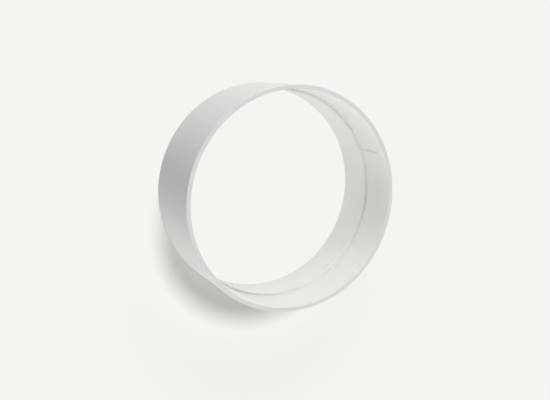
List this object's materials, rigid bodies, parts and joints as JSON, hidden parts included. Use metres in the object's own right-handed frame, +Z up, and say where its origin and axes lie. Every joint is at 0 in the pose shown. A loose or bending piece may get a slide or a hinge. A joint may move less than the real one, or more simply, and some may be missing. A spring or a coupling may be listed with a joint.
{
  "type": "duct connector",
  "caption": "Short round plastic sleeve that joins round ventilation ducts end to end, with a low stop ring half-way along the inside and plain rims.",
  "frame": {"origin": "centre of the lower rim, on the plane that the sleeve stands on", "axes": "+Z up along the sleeve's axis, out of the upper socket; +Y towards the side that is uppermost in the picture; the fine groove in the upper socket lies 22.7 degrees from +X towards +Y"},
  "size_m": [0.1044, 0.1044, 0.042],
  "materials": {
    "white_plastic": "moulded white plastic with a soft satin sheen"
  },
  "bodies": {
    "root": {"connector_sleeve": "white_plastic"}
  },
  "joints": []
}
